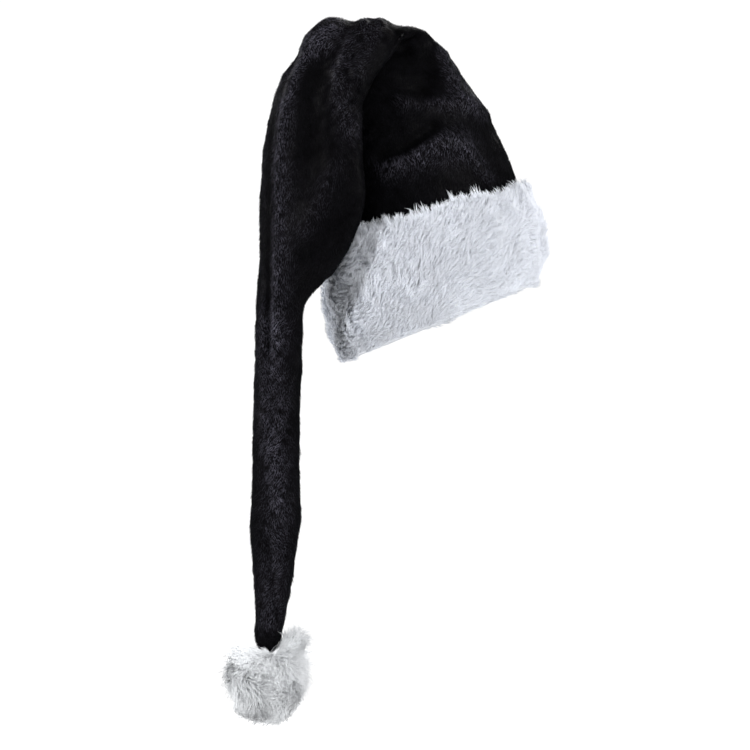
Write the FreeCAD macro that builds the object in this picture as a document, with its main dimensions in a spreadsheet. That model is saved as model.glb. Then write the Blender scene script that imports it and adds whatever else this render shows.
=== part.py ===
import FreeCAD, Part
import Sketcher
import math
import os

from FreeCAD import Placement, Rotation, Vector

# Long-tailed plush party hat, in millimetres and degrees.
# The origin is the centre of the head opening, +Z is up, +X is the forehead side and -Y the wearer's right.
# The cloth is one long tapering tube of two panels, left and right. It stands up as the crown, folds over
# at the crest and hangs down on the wearer's right as a wide pouch and then a narrow tail with a pompom.
# Folding over turns the tube: the crown's left panel becomes the tail's outer panel.

os.makedirs("parts", exist_ok=True)
doc = FreeCAD.newDocument("long_tail_plush_hat")

# ---------------------------------------------------------------- driving dimensions
SIZES = {
    "cloth_wall": 3.0,  # plush backing and its pile together
    "facing_wall": 2.5,  # turned-in inner layer of the cuff
    "sewn_gap": 0.3,  # room between pieces that lie on each other
    "thread_radius": 0.45,
    "stitch_inset": 2.5,  # how far inside the cloth a row of stitches lies
    "pouch_stitch_inset": 5.0,  # further in where the pouch narrows sharply
    "stitch_pitch": 9.0,
    "stitch_share": 0.6,  # of the pitch, the rest being the gap to the next stitch
    "hem_stitch_share": 0.08,  # up the facing from its rim
    "swing_range": 60.0,  # tail swinging outwards at the top fold, about an axis along Y
    "swing_margin": 2.0,
    "swing_x": -116.0,
    "swing_y": -54.0,
    "swing_z": 257.5,
    "swing_reach": 90.0,  # how far the room for the swing goes from its axis
    "swing_depth": 120.0,
    "label_width": 20.0,
    "label_height": 34.0,
    "label_thickness": 0.8,
    "label_x": -93.0,
    "label_z": 26.0,
    "label_lean": 7.0,
    "pompom_x": -175.0,
    "pompom_y": -42.5,
    "pompom_z": -363.0,
    "pompom_radius": 43.0,
    "pompom_swing": 45.0,  # to each side
    "pompom_swing_z": -336.5,
    "tip_room_depth": 1.5,
    "tip_room_width": 36.0,
    "stuffing_radius": 16.0,
    "tie_ring_radius": 4.6,
    "tie_thread_radius": 1.2,
    "tie_z": -342.5,
    "tie_room": 7.0,
    "binding_wall": 1.2,
}

# One station is an elliptical ring of the tube: its centre, how far the ring is turned about Z, how much its
# front end is raised, how far it has rolled over on the way through the fold, and its two half axes.
FIELDS = ("x", "y", "z", "turn", "raise", "roll", "half_length", "half_depth")
CROWN = {
    "hem": (-10.2, 0.0, 94.5, 0.0, 15.9, 0.0, 96.9, 78.4),
    "brow": (-11.5, 0.0, 106.0, 0.0, 15.3, 0.0, 95.5, 77.2),
    "side": (-22.0, 0.0, 150.0, 0.0, 13.0, 0.0, 88.0, 72.0),
    "shoulder": (-36.0, 0.0, 200.0, 0.0, 10.0, 0.0, 77.0, 59.0),
    "peak": (-50.0, -1.0, 245.0, 0.0, 6.0, 4.0, 63.0, 41.0),
    "crest": (-58.0, -5.0, 272.0, 2.0, 4.0, 20.0, 55.5, 26.0),
    "fold": (-69.0, -23.0, 286.5, 5.0, 0.0, 90.0, 51.0, 13.0),
    "turn": (-85.0, -43.0, 277.0, 8.0, 0.0, 150.0, 49.0, 15.0),
    "drop": (-98.0, -50.0, 258.5, 10.0, 0.0, 180.0, 49.6, 17.0),
}
POUCH = {
    "neckline": (-99.0, -50.5, 256.5, 10.0, 0.0, 180.0, 49.6, 17.0),
    "upper": (-114.0, -56.0, 234.0, 14.0, 0.0, 180.0, 49.2, 18.0),
    "bulge": (-124.0, -57.0, 205.0, 19.0, 0.0, 180.0, 48.7, 19.5),
    "belly": (-127.0, -57.0, 162.0, 23.0, 0.0, 180.0, 54.7, 21.0),
    "low": (-127.0, -58.0, 114.0, 26.0, 0.0, 180.0, 59.2, 21.0),
    "lobe": (-129.5, -60.0, 84.0, 27.0, 0.0, 180.0, 57.0, 19.0),
    "tuck": (-142.0, -57.0, 48.0, 26.0, 0.0, 180.0, 45.0, 15.0),
    "throat": (-154.0, -51.5, 22.0, 23.0, 0.0, 180.0, 31.0, 13.5),
}
MIDDLE = {
    "neck": (-159.5, -48.2, 8.0, 20.0, 0.0, 180.0, 26.0, 12.5),
    "stem": (-162.5, -47.1, -60.0, 20.0, 0.0, 180.0, 24.8, 12.5),
    "bend": (-165.0, -46.2, -139.0, 20.0, 0.0, 180.0, 24.8, 12.5),
}
LOWER = {
    "knee": (-165.4, -46.0, -161.0, 20.0, 0.0, 180.0, 25.0, 12.5),
    "calf": (-164.8, -46.2, -198.0, 20.0, 0.0, 180.0, 26.4, 12.5),
    "taper": (-167.5, -45.2, -258.0, 20.0, 0.0, 180.0, 20.8, 11.0),
    "ankle": (-169.6, -44.5, -300.0, 20.0, 0.0, 180.0, 15.2, 8.8),
    "bound": (-171.0, -44.0, -316.0, 20.0, 0.0, 180.0, 12.0, 7.6),
    "tip": (-172.5, -43.4, -331.0, 20.0, 0.0, 180.0, 8.2, 6.4),
}
# The cuff's outer rings bulge between its two sewn edges, and its height falls from the nape to the forehead.
CUFF_OUTSIDE = {
    "rim": (0.0, 0.0, 0.0, 0.0, 21.9, 0.0, 104.0, 85.0),
    "rim_roll": (-1.5, 0.0, 25.0, 0.0, 20.2, 0.0, 115.0, 95.0),
    "middle_roll": (-4.0, 0.0, 52.0, 0.0, 18.6, 0.0, 119.0, 98.0),
    "top_roll": (-8.0, 0.0, 80.0, 0.0, 17.0, 0.0, 115.0, 95.0),
    "top_edge": (-11.5, 0.0, 106.0, 0.0, 15.3, 0.0, 103.0, 84.0),
}
CUFF_INSIDE = {
    "band_rim": (0.0, 0.0, 0.0, 0.0, 21.9, 0.0, 100.0, 81.0),
    "band_top": (-11.5, 0.0, 106.0, 0.0, 15.3, 0.0, 97.2, 78.9),
}
FACING = {
    "facing_rim": (0.0, 0.0, 0.0, 0.0, 21.9, 0.0, 99.7, 80.7),
    "facing_top": (-10.0, 0.0, 92.0, 0.0, 16.0, 0.0, 97.2, 78.9),
}
BINDING = {
    "binding_top": (-171.0, -44.0, -316.0, 20.0, 0.0, 180.0, 13.7, 9.3),
    "binding_end": (-171.6, -43.8, -322.0, 20.0, 0.0, 180.0, 12.6, 8.9),
}
CHAINS = (CROWN, POUCH, MIDDLE, LOWER, CUFF_OUTSIDE, CUFF_INSIDE, FACING, BINDING)


def fill_sheet():
    """Writes every driving dimension to the sheet, one row each, with its alias."""
    made = doc.addObject("Spreadsheet::Sheet", "sizes")
    values = dict(SIZES)
    for chain in CHAINS:
        for station, numbers in chain.items():
            values.update({f"{station}_{field}": number for field, number in zip(FIELDS, numbers)})
    for row, (alias, value) in enumerate(values.items(), start=1):
        made.set(f"A{row}", alias)
        made.set(f"B{row}", str(value))
        made.setAlias(f"B{row}", alias)
    doc.recompute()
    return made


sheet = fill_sheet()


def size(alias):
    return float(sheet.get(alias))


def bind(made, **expressions):
    """Binds properties of an object to expressions; a double underscore in a name stands for a dot."""
    for path, expression in expressions.items():
        made.setExpression(path.replace("__", "."), expression)
    return made


# ---------------------------------------------------------------- the tube's building blocks
def ring_frame(station):
    """The expression for a station's placement: the ring's long axis is local X, its outer side local Y."""
    place = "; ".join(f"sizes.{station}_{axis}" for axis in ("x", "y", "z"))
    return (
        f"placement(vector({place}); rotation(-sizes.{station}_turn; "
        f"-sizes.{station}_raise; sizes.{station}_roll))"
    )


def ring(station, inset="0"):
    """A station's ellipse, its half axes less the inset."""
    made = doc.addObject("Part::Ellipse", f"{station}_ring")
    return bind(
        made,
        MajorRadius=f"sizes.{station}_half_length - {inset}",
        MinorRadius=f"sizes.{station}_half_depth - {inset}",
        Placement=ring_frame(station),
    )


def half_plane(station):
    """A rectangle that covers the outer half of a station's ring, from its long axis outwards."""
    made = doc.addObject("Part::Plane", f"{station}_half")
    corner = f"placement(vector(-1.1 * sizes.{station}_half_length; 0; 0); rotation(0; 0; 0))"
    return bind(
        made,
        Length=f"2.2 * sizes.{station}_half_length",
        Width=f"1.3 * sizes.{station}_half_depth",
        Placement=f"{ring_frame(station)} * {corner}",
    )


def loft(name, sections):
    made = doc.addObject("Part::Loft", name)
    made.Sections = sections
    made.Solid = True
    return made


def cut(name, base, tool):
    made = doc.addObject("Part::Cut", name)
    made.Base, made.Tool = base, tool
    return made


def common(name, base, tool):
    made = doc.addObject("Part::Common", name)
    made.Base, made.Tool = base, tool
    return made


def tube(name, outside, inside_inset, inside=None):
    """A tube through the outside stations. Its bore follows the inside stations, or the outside less the inset."""
    body = loft(f"{name}_solid", [ring(station) for station in outside])
    bore = loft(f"{name}_bore", [ring(station, inside_inset) for station in (inside or outside)])
    return cut(f"{name}_tube", body, bore)


nodes = []


def node(made, label):
    """Marks an object as a sub-part: its label names its file."""
    made.Label = label
    nodes.append(made)
    return made


def panels(name, chain, trim=None):
    """The two cloth panels of a stretch of the tube, as an outer and an inner half that meet at the seams."""
    whole = tube(name, chain, "sizes.cloth_wall")
    if trim is not None:
        whole = cut(f"{name}_trimmed", whole, trim)
    outer_half = loft(f"{name}_outer_half", [half_plane(station) for station in chain])
    return common(f"{name}_outer", whole, outer_half), cut(f"{name}_inner", whole, outer_half)


def swing_wedge(name, downwards):
    """A box with one edge on the swing axis. It clears half of the swing, on the axis's outward side, below
    the rising face on the crown or above the falling face on the pouch."""
    made = doc.addObject("Part::Box", name)
    half = "sizes.swing_range / 2 + sizes.swing_margin"
    tilt = f"90 - ({half})" if downwards else half
    return bind(
        made,
        Length="sizes.swing_reach",
        Width="sizes.swing_depth",
        Height="sizes.swing_reach",
        Placement=(
            "placement(vector(sizes.swing_x; sizes.swing_y; sizes.swing_z); "
            f"rotation(180; {tilt}; 0)) * placement(vector(0; -sizes.swing_depth / 2; 0); rotation(0; 0; 0))"
        ),
    )


# ---------------------------------------------------------------- stitches
def ring_point(numbers, angle, inset):
    """The point of a station's ring at an angle from its long axis, moved in by the inset."""
    x, y, z, turn, lift, roll, half_length, half_depth = numbers
    frame = Placement(Vector(x, y, z), Rotation(-turn, -lift, roll))
    across = (half_length - inset) * math.cos(angle)
    out = (half_depth - inset) * math.sin(angle)
    return frame.multVec(Vector(across, out, 0.0))


def stitch(start, end):
    along = end - start
    return Part.makeCylinder(size("thread_radius"), along.Length, start, along)


def stitches_along(points):
    """Separate straight stitches along a run of points, a pitch apart, with half a gap before the first."""
    path = Part.makePolygon(points)
    count = max(2, round(path.Length / size("stitch_pitch")))
    step, share = path.Length / count, size("stitch_share")
    places = [(index + (1.0 - share) / 2.0) * step for index in range(count)]
    ends = [(place, place + share * step) for place in places]
    lines = [(path_point(points, start), path_point(points, end)) for start, end in ends]
    return Part.makeCompound([stitch(start, end) for start, end in lines])


def path_point(points, distance):
    """The point at a distance along a run of straight lines."""
    for start, end in zip(points, points[1:]):
        length = (end - start).Length
        if distance <= length:
            return start + (end - start) * (distance / length)
        distance -= length
    return points[-1]


def stitch_node(label, shape):
    made = doc.addObject("Part::Feature", label)
    made.Shape = shape
    return node(made, label)


def seam_rows(name, stations, stitch_inset):
    """The two rows of stitches that join a stretch's panels, just inside its two edges."""
    inset = size("cloth_wall") + stitch_inset
    for edge, angle in (("front", 0.0), ("back", math.pi)):
        points = [ring_point(numbers, angle, inset) for numbers in stations]
        stitch_node(f"{name}_{edge}_seam", stitches_along(points))


def round_row(label, numbers, inset):
    """A row of stitches all the way round a station's ring."""
    count = round(math.pi * (numbers[6] + numbers[7]) / size("stitch_pitch"))
    step, share = 2.0 * math.pi / count, size("stitch_share")
    ends = [(index * step, (index + share) * step) for index in range(count)]
    lines = [(ring_point(numbers, start, inset), ring_point(numbers, end, inset)) for start, end in ends]
    return stitch_node(label, Part.makeCompound([stitch(start, end) for start, end in lines]))


# ---------------------------------------------------------------- crown
def make_crown():
    left, right = panels("crown", CROWN, swing_wedge("crown_swing_room", downwards=True))
    node(left, "crown_left_panel")
    node(right, "crown_right_panel")
    seam_rows("crown", list(CROWN.values())[1:6], size("stitch_inset"))


# ---------------------------------------------------------------- cuff
def make_cuff():
    band = tube("cuff_band", CUFF_OUTSIDE, "0", CUFF_INSIDE)
    node(band, "cuff_fur_band")
    node(tube("cuff_facing", FACING, "sizes.facing_wall"), "cuff_facing")
    share = size("hem_stitch_share")
    hem_ring = [low + (high - low) * share for low, high in zip(FACING["facing_rim"], FACING["facing_top"])]
    thread_room = size("thread_radius") + 2.0 * size("sewn_gap")
    round_row("cuff_hem_stitches", hem_ring, size("facing_wall") + thread_room)
    round_row("cuff_top_stitches", CROWN["brow"], size("cloth_wall") + size("stitch_inset"))


def make_label():
    """A blank sewn-in label, hanging inside the nape of the cuff."""
    body = doc.addObject("PartDesign::Body", "care_label")
    sketch = body.newObject("Sketcher::SketchObject", "label_outline")
    plane = next(item for item in body.Origin.OriginFeatures if item.Role == "XY_Plane")
    sketch.AttachmentSupport = [(plane, "")]
    sketch.MapMode = "FlatFace"
    thickness, width = size("label_thickness"), size("label_width")
    corners = [Vector(x, y, 0) for x, y in ((0, 0), (thickness, 0), (thickness, width), (0, width))]
    for start, end in zip(corners, corners[1:] + corners[:1]):
        sketch.addGeometry(Part.LineSegment(start, end))
    for index in range(len(corners)):
        sketch.addConstraint(Sketcher.Constraint("Coincident", index, 2, (index + 1) % 4, 1))
    for index, kind in enumerate(("Horizontal", "Vertical", "Horizontal", "Vertical")):
        sketch.addConstraint(Sketcher.Constraint(kind, index))
    sketch.addConstraint(Sketcher.Constraint("Coincident", 0, 1, -1, 1))
    for name, kind, line, value in (("thickness", "DistanceX", 0, thickness), ("width", "DistanceY", 1, width)):
        number = sketch.addConstraint(Sketcher.Constraint(kind, line, 1, line, 2, value))
        sketch.renameConstraint(number, name)
        sketch.setExpression(f"Constraints.{name}", f"sizes.label_{name}")
    pad = body.newObject("PartDesign::Pad", "label_pad")
    pad.Profile = sketch
    bind(pad, Length="sizes.label_height")
    bind(
        body,
        Placement=(
            "placement(vector(sizes.label_x; -sizes.label_width / 2; sizes.label_z); "
            "rotation(0; -sizes.label_lean; 0))"
        ),
    )
    node(body, "care_label")


# ---------------------------------------------------------------- hanging tail
def make_tail():
    pouch_room = swing_wedge("pouch_swing_room", downwards=False)
    for name, chain, trim in (("pouch", POUCH, pouch_room), ("middle", MIDDLE, None), ("lower", LOWER, None)):
        outer, inner = panels(name, chain, trim)
        node(outer, f"{name}_outer_panel")
        node(inner, f"{name}_inner_panel")
    seam_rows("pouch", list(POUCH.values())[1:], size("pouch_stitch_inset"))
    seam_rows("middle", MIDDLE.values(), size("stitch_inset"))
    seam_rows("lower", LOWER.values(), size("stitch_inset"))
    node(tube("tip_binding", BINDING, "sizes.binding_wall"), "tip_binding")


# ---------------------------------------------------------------- pompom
def place_round(made, height):
    """Stands a round piece on the pompom's upright axis."""
    return bind(
        made, Placement=f"placement(vector(sizes.pompom_x; sizes.pompom_y; {height}); rotation(0; 0; 0))"
    )


def tip_room(name, side, slope):
    """A box with one edge on the pompom's swing axis, on one side of the tail's tip. It clears the ball from a
    face that falls from the axis at the slope round to the face at right angles to it."""
    made = doc.addObject("Part::Box", name)
    bind(
        made,
        Length="sizes.pompom_radius * 2",
        Width="sizes.tip_room_width",
        Height="sizes.pompom_radius * 2",
        Placement=(
            "placement(vector(sizes.pompom_x; sizes.pompom_y; sizes.pompom_swing_z - sizes.tip_room_depth); "
            f"rotation({side} - sizes.tip_turn; {slope}; 0)) * "
            "placement(vector(0; -sizes.tip_room_width / 2; 0); rotation(0; 0; 0))"
        ),
    )
    return made


def make_pompom():
    """A ball of fur over a stuffing ball, split at the top for the tail's tip, with its neck left open."""
    ball = place_round(doc.addObject("Part::Sphere", "pompom_ball"), "sizes.pompom_z")
    bind(ball, Radius="sizes.pompom_radius")
    room = doc.addObject("Part::MultiFuse", "tip_room")
    room.Shapes = [
        tip_room(f"tip_room_{name}_{slope_name}", side, slope)
        for name, side in (("near", "-90"), ("far", "90"))
        for slope_name, slope in (("level", "0"), ("falling", "sizes.pompom_swing / 2"))
    ]
    fur = cut("pompom_parted", ball, room)
    hollow = place_round(doc.addObject("Part::Sphere", "pompom_hollow"), "sizes.pompom_z")
    bind(hollow, Radius="sizes.stuffing_radius + sizes.sewn_gap")
    neck = doc.addObject("Part::Cylinder", "pompom_neck")
    bind(neck, Radius="sizes.tie_room", Height="sizes.pompom_radius")
    place_round(neck, "sizes.tie_z - 2 * sizes.tie_thread_radius")
    node(cut("pompom_fur", cut("pompom_hollow_cut", fur, hollow), neck), "pompom_fur")

    stuffing = place_round(doc.addObject("Part::Sphere", "pompom_stuffing"), "sizes.pompom_z")
    node(bind(stuffing, Radius="sizes.stuffing_radius"), "pompom_stuffing")
    tie = place_round(doc.addObject("Part::Torus", "pompom_tie"), "sizes.tie_z")
    node(bind(tie, Radius1="sizes.tie_ring_radius", Radius2="sizes.tie_thread_radius"), "pompom_tie")


# ---------------------------------------------------------------- build, check, write
make_crown()
make_cuff()
make_label()
make_tail()
make_pompom()
doc.recompute()

for made in doc.Objects:
    if "Invalid" in made.State or "Error" in made.State:
        raise RuntimeError(f"{made.Name} failed: {made.State}")
for made in nodes:
    if made.Shape.isNull() or not made.Shape.isValid():
        raise RuntimeError(f"{made.Label} has no valid shape")
for made in nodes:
    made.Shape.exportStep(f"parts/{made.Label}.step")
    print(f"{made.Label:24s} {len(made.Shape.Solids):3d} solids {made.Shape.Volume:12.1f} mm3")
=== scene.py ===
import math

import bpy
import numpy as np
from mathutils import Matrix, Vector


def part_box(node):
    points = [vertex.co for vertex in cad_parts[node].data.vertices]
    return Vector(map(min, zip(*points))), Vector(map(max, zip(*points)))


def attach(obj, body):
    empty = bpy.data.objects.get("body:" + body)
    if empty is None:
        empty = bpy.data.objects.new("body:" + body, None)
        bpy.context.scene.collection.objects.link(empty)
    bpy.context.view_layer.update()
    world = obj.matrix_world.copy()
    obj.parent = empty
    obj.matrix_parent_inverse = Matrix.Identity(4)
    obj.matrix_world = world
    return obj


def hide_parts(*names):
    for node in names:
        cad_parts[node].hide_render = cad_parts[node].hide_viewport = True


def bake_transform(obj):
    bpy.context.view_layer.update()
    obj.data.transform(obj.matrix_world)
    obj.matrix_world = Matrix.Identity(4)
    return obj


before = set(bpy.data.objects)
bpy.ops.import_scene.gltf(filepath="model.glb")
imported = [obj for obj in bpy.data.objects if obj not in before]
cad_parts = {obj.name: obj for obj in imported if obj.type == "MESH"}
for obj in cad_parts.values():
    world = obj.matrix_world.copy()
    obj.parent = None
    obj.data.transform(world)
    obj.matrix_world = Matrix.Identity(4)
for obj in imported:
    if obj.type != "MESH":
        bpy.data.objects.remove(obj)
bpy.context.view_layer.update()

bl_info = {
    "name": "Long-tailed plush party hat",
    "version": (1, 0, 0),
    "blender": (4, 5, 0),
    "location": "View3D > Sidebar > Plush Hat",
    "description": "Dresses a plush cap with a fur cuff, a long hanging tail and a pompom",
    "category": "Add Mesh",
}

MM = 0.001

# ---------------------------------------------------------------- the cloth tube's design
# One station is an elliptical ring of the cloth tube, in millimetres and degrees: its centre, how far the
# ring is turned about Z, how much its front end is raised, how far it has rolled over on its way through
# the fold at the top, and its half length and half depth. The tube runs from the cuff up to the fold and
# down the tail.
STATIONS = {
    "hem": (-9.6, 0.0, 88.0, 0.0, 16.1, 0.0, 96.6, 78.2),
    "brow": (-11.5, 0.0, 106.0, 0.0, 15.3, 0.0, 95.5, 77.2),
    "side": (-20.6, 0.0, 150.0, 0.0, 13.0, 0.0, 89.4, 72.0),
    "shoulder": (-34.2, 0.0, 200.0, 0.0, 10.0, 0.0, 78.8, 59.0),
    "peak": (-48.4, -1.0, 245.0, 0.0, 6.0, 4.0, 64.6, 41.0),
    "crest": (-57.0, -5.0, 272.0, 2.0, 4.0, 20.0, 56.5, 26.0),
    "fold": (-69.0, -23.0, 286.0, 5.0, 0.0, 90.0, 51.0, 13.0),
    "turn": (-85.0, -43.0, 277.0, 8.0, 0.0, 150.0, 49.5, 15.0),
    "drop": (-98.5, -50.0, 258.0, 10.0, 0.0, 180.0, 49.8, 17.0),
    "upper": (-114.0, -56.0, 234.0, 14.0, 0.0, 180.0, 49.2, 18.0),
    "bulge": (-124.0, -57.0, 205.0, 19.0, 0.0, 180.0, 48.7, 19.5),
    "belly": (-127.0, -57.0, 162.0, 23.0, 0.0, 180.0, 54.7, 21.0),
    "low": (-127.6, -58.0, 114.0, 26.0, 0.0, 180.0, 58.0, 20.5),
    "lobe": (-131.6, -59.5, 84.0, 27.0, 0.0, 180.0, 54.6, 18.0),
    "lip": (-137.2, -58.5, 62.0, 27.0, 0.0, 180.0, 48.6, 16.0),
    "tuck": (-142.4, -56.5, 48.0, 26.0, 0.0, 180.0, 43.6, 14.5),
    "step": (-149.6, -53.5, 34.0, 25.0, 0.0, 180.0, 36.2, 13.5),
    "throat": (-155.6, -51.0, 20.0, 23.0, 0.0, 180.0, 29.2, 13.0),
    "neck": (-159.4, -48.4, 4.0, 20.0, 0.0, 180.0, 25.8, 12.5),
    "stem": (-161.6, -47.2, -60.0, 20.0, 0.0, 180.0, 25.3, 12.5),
    "bend": (-164.0, -46.2, -150.0, 20.0, 0.0, 180.0, 25.6, 12.5),
    "calf": (-163.8, -46.2, -198.0, 20.0, 0.0, 180.0, 27.2, 12.5),
    "taper": (-166.0, -45.3, -258.0, 20.0, 0.0, 180.0, 21.9, 11.0),
    "ankle": (-169.0, -44.5, -301.0, 20.0, 0.0, 180.0, 16.8, 10.2),
    "cap": (-171.0, -44.0, -317.0, 20.0, 0.0, 180.0, 15.2, 10.7),
    "end": (-172.0, -43.6, -328.0, 20.0, 0.0, 180.0, 10.6, 8.4),
    "tip": (-172.4, -43.4, -333.5, 20.0, 0.0, 180.0, 3.6, 3.4),
}
STATION_NAMES = list(STATIONS)

# The lengths that the tube is made in: first and last station, the bodies it follows, and where between two
# bodies it bends, as heights in millimetres.
LENGTHS = {
    "crown": ("hem", "fold", ("crown",), None),
    "fold_over": ("fold", "belly", ("crown", "pouch"), (284.0, 226.0)),
    "pouch": ("belly", "stem", ("pouch", "tail_middle"), (46.0, -16.0)),
    "tail": ("stem", "calf", ("tail_middle", "tail_lower"), (-114.0, -186.0)),
    "tail_end": ("calf", "tip", ("tail_lower",), None),
}
REPLACED = {
    "crown": ("crown_left_panel", "crown_right_panel"),
    "pouch": ("pouch_outer_panel", "pouch_inner_panel"),
    "tail": ("middle_outer_panel", "middle_inner_panel"),
    "tail_end": ("lower_outer_panel", "lower_inner_panel"),
}

# Creases of the worn cloth on the side towards -Y, seen along Y: a line of (x, z) points, how far the cloth
# stands out or falls in along it, and half the width of the crease, all in millimetres.
CREASES = (
    (((-133, 262), (-153, 216), (-159, 175), (-161, 134), (-162, 40), (-163, -34)), 3.2, 3.2),
    (((-143, 264), (-161, 216), (-168, 175), (-170, 134), (-170, -34)), -2.6, 2.8),
    (((-177, 18), (-176, -60), (-176, -132)), 1.6, 3.0),
    (((-151, -60), (-158, -110), (-160, -150), (-153, -196)), 1.8, 4.0),
    (((-173, -100), (-166, -145), (-160, -190)), 2.6, 4.0),
    (((-171, -225), (-166, -265), (-161, -301)), -2.6, 3.2),
    (((-58, 158), (-41, 164), (-25, 174), (-8, 187)), -6.5, 5.5),
    (((-54, 150), (-22, 160), (2, 172), (18, 172)), 5.0, 9.0),
    (((-34, 214), (-6, 213), (24, 211)), 4.0, 6.5),
    (((5, 264), (12, 240), (24, 220), (42, 206)), 4.5, 6.5),
    (((26, 166), (36, 152), (46, 138)), 3.0, 5.0),
    (((-34, 268), (-16, 246), (-20, 226)), -5.0, 11.0),
    (((-36, 306), (-44, 284)), -3.5, 6.0),
    (((-103, 304), (-112, 290), (-122, 270)), 8.0, 9.0),
    (((-84, 304), (-92, 280), (-104, 262)), -3.0, 5.0),
    (((-76, 292), (-94, 272), (-104, 244), (-98, 214), (-88, 184)), 3.0, 6.0),
    (((-60, 294), (-70, 270), (-80, 240)), 2.4, 4.0),
    (((-118, 250), (-128, 210), (-126, 160)), -3.5, 9.0),
    (((-104, 150), (-116, 120), (-134, 86)), 2.2, 7.0),
    (((-86, 110), (-100, 92), (-120, 66)), -2.0, 6.0),
)
# Bands of painted highlight on the pile, as the creases, with how much lighter they are in place of a
# height.
PAINTED_HIGHLIGHT_BANDS = (
    (((-150, 240), (-160, 160), (-160, 60), (-162, -20)), 4.5, 9.0),
    (((-168, -10), (-165, -110), (-162, -200), (-166, -262), (-168, -300)), 6.5, 9.0),
    (((-104, 296), (-132, 262)), 3.0, 12.0),
    (((-66, 290), (-90, 262), (-98, 226), (-92, 184)), 1.6, 11.0),
    (((-50, 150), (-14, 158), (24, 160)), 2.2, 10.0),
)
# The rubbed, ruffled stretch of the fold: its line, how high its small waves are and half its width.
RUFFLE = (((-66, 290), (-90, 262), (-96, 226), (-88, 184)), 1.3, 13.0)


# Fields that vary over the strands' roots: the seed and the shortest and longest wavelengths, in metres, of
# its waves, then its mean, the height of its waves and the height of its random noise.
FIELDS = {
    "nap_sway": (21, (0.018, 0.050), 0.0, 0.7, 0.22),
    "nap_stand": (22, (0.006, 0.016), 0.36, 0.14, 0.10),
    "speckle": (23, (0.004, 0.010), 0.0, 1.0, 0.35),
    "cuff_rise": (53, (0.010, 0.026), 0.50, 0.13, 0.08),
    "cuff_tone": (57, (0.006, 0.016), 0.5, 0.22, 0.18),
    "pompom_rise": (65, (0.010, 0.025), 0.95, 0.10, 0.14),
    "pompom_tone": (71, (0.010, 0.024), 0.5, 0.06, 0.12),
}


# ---------------------------------------------------------------- settings
def length_setting(name, description, default):
    return bpy.props.FloatProperty(name=name, description=description, default=default, unit="LENGTH")


def count_setting(name, description, default):
    return bpy.props.IntProperty(name=name, description=description, default=default)


def color_setting(name, description, default):
    return bpy.props.FloatVectorProperty(
        name=name, description=description, default=default, size=3, subtype="COLOR"
    )


class ClothSettings(bpy.types.PropertyGroup):
    ring_step: length_setting("Ring step", "Distance between rings of the cloth", 2.5 * MM)
    around: count_setting("Around", "Points round each ring", 184)
    wall: length_setting("Wall", "Thickness of the plush with its backing", 2.4 * MM)
    ripple: length_setting("Ripple", "Height of the cloth's gentle waves", 0.45 * MM)
    pile_depth: length_setting("Pile depth", "How thick the pile lies on the cloth", 1.2 * MM)
    pile_length: length_setting("Pile length", "Length of the short pile", 3.4 * MM)
    pile_tufts: count_setting("Pile tufts", "Tufts of pile in all", 110000)
    color: color_setting("Plush", "Colour of the plush", (0.0016, 0.00155, 0.0020))


class FurSettings(bpy.types.PropertyGroup):
    cuff_locks: count_setting("Cuff locks", "Locks of fur on the cuff", 60000)
    cuff_length: length_setting("Cuff fur", "Length of the cuff's fur", 14.5 * MM)
    pompom_locks: count_setting("Pompom locks", "Locks of fur on the pompom", 19000)
    pompom_length: length_setting("Pompom fur", "Length of the pompom's fur", 17.0 * MM)
    pompom_radius: length_setting("Pompom core", "Radius of the pompom under its fur", 29.5 * MM)
    lock_width: length_setting("Lock width", "Width of a lock at its root", 0.66 * MM)
    cuff_color: color_setting("Cuff", "Colour of the cuff's fur", (0.91, 0.94, 1.0))
    pompom_color: color_setting("Pompom", "Colour of the pompom's fur", (0.88, 0.90, 0.92))


class StageSettings(bpy.types.PropertyGroup):
    floor_glow: bpy.props.FloatProperty(
        name="Floor glow", description="How brightly the floor shines to the camera", default=0.8
    )
    floor_radius: length_setting("Floor radius", "How far the floor goes", 2.3)
    camera_distance: length_setting("Camera distance", "From the hat to the camera", 3.2)
    view_width: length_setting("View width", "Width of what the camera sees at the hat", 0.75)
    view_center: bpy.props.FloatVectorProperty(
        name="View centre", description="Middle of the view", default=(-0.065, -0.03, -0.057), size=3
    )
    floor_height: length_setting("Floor", "Height of the floor", -0.62)


# ---------------------------------------------------------------- curves and surfaces
def cubic(knots, values, at):
    """A smooth run through the values: a cubic Hermite curve between each two knots, whose slope at a knot
    is the slope of the line from the knot before it to the knot after it."""
    slopes = np.gradient(values, knots, axis=0)
    slopes[1:-1] = (values[2:] - values[:-2]) / (knots[2:] - knots[:-2])[:, None]
    index = np.clip(np.searchsorted(knots, at, side="right") - 1, 0, len(knots) - 2)
    span = (knots[index + 1] - knots[index])[:, None]
    share = ((at - knots[index]) / span[:, 0])[:, None]
    square, cube = share**2, share**3
    return (
        (2 * cube - 3 * square + 1) * values[index]
        + (cube - 2 * square + share) * span * slopes[index]
        + (3 * square - 2 * cube) * values[index + 1]
        + (cube - square) * span * slopes[index + 1]
    )


def unit(vectors):
    return vectors / np.maximum(np.linalg.norm(vectors, axis=-1, keepdims=True), 1e-12)


def ring_table(stations):
    """Stations as an array with a row for each, in metres and degrees."""
    table = np.array(list(stations.values()), dtype=float)
    table[:, (0, 1, 2, 6, 7)] *= MM
    return table


def station_knots():
    """The distance of each station from the first, along straight lines between their centres."""
    centres = ring_table(STATIONS)[:, :3]
    return np.concatenate([[0.0], np.cumsum(np.linalg.norm(np.diff(centres, axis=0), axis=1))])


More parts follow.
